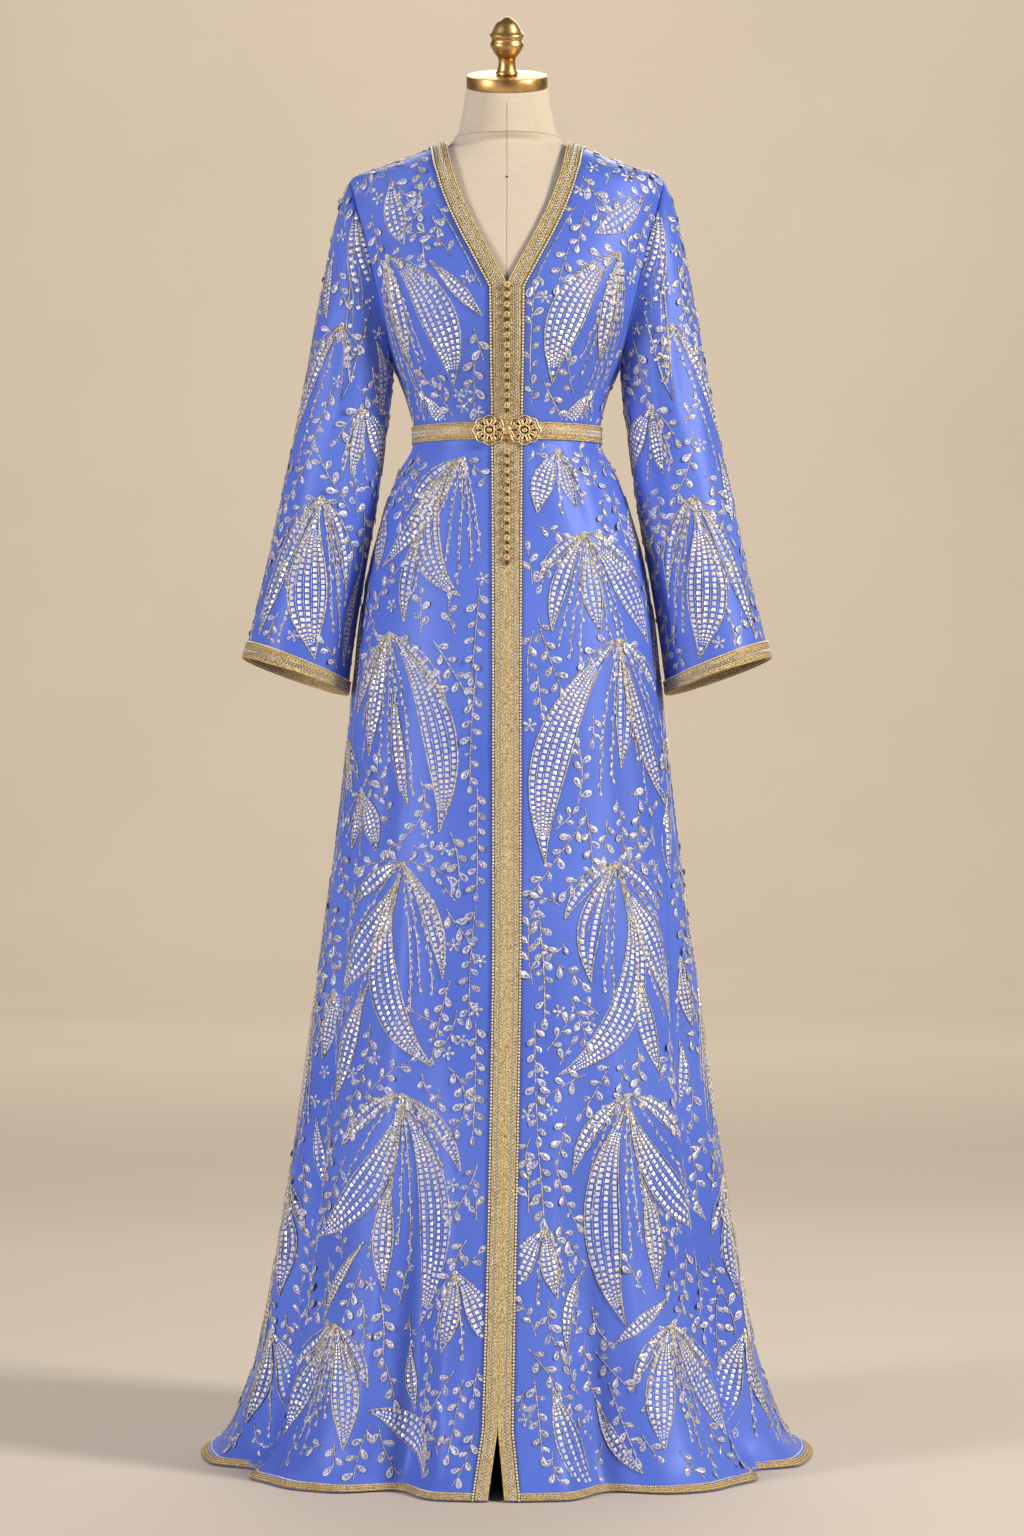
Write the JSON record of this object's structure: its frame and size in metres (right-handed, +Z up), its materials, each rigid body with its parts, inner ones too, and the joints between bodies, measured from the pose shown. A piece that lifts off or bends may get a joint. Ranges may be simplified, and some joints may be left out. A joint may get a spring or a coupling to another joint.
{
  "type": "moroccan kaftan on dress form",
  "caption": "Floor-length kaftan with long flared sleeves, V-neck, gold braid, ball buttons and buckled belt, worn by a limbless dress form on a pole stand.",
  "frame": {"origin": "on the floor, at the centre of the stand's base", "axes": "+Z up, -Y out of the kaftan's front, +X towards the viewer's right as the front is faced"},
  "size_m": [0.7376, 0.6705, 1.7193],
  "materials": {
    "satin_crepe": "satin crepe with a soft sheen, silver embroidery",
    "gold_braid": "braided metallic yarn",
    "gilt_metal": "gilt, satin",
    "cream_linen": "plain woven linen, matt",
    "satin_brass": "satin lacquered brass",
    "coated_steel": "matt powder coat"
  },
  "bodies": {
    "root": {"front_left": "satin_crepe", "front_right": "satin_crepe", "back_left": "satin_crepe", "back_right": "satin_crepe", "side_back_left": "satin_crepe", "side_back_right": "satin_crepe", "sleeve_left": "satin_crepe", "sleeve_right": "satin_crepe", "front_band_left": "gold_braid", "front_band_right": "gold_braid", "neck_band_back": "gold_braid", "cuff_band_left": "gold_braid", "cuff_band_right": "gold_braid", "hem_band_left": "gold_braid", "hem_band_right": "gold_braid", "hem_band_back": "gold_braid", "belt": "gold_braid", "buckle_left": "gilt_metal", "buckle_right": "gilt_metal", "buckle_stone": "gilt_metal", "button_01": "gilt_metal", "button_02": "gilt_metal", "button_03": "gilt_metal", "button_04": "gilt_metal", "button_05": "gilt_metal", "button_06": "gilt_metal", "button_07": "gilt_metal", "button_08": "gilt_metal", "button_09": "gilt_metal", "button_10": "gilt_metal", "button_11": "gilt_metal", "button_12": "gilt_metal", "button_13": "gilt_metal", "button_14": "gilt_metal", "button_15": "gilt_metal", "button_16": "gilt_metal", "button_17": "gilt_metal", "button_18": "gilt_metal", "button_19": "gilt_metal", "button_20": "gilt_metal", "button_21": "gilt_metal", "button_22": "gilt_metal", "button_23": "gilt_metal", "button_24": "gilt_metal", "button_25": "gilt_metal", "form_torso": "cream_linen", "neck_cap": "satin_brass", "finial": "satin_brass", "stand_pole": "coated_steel", "stand_base": "coated_steel"}
  },
  "joints": []
}
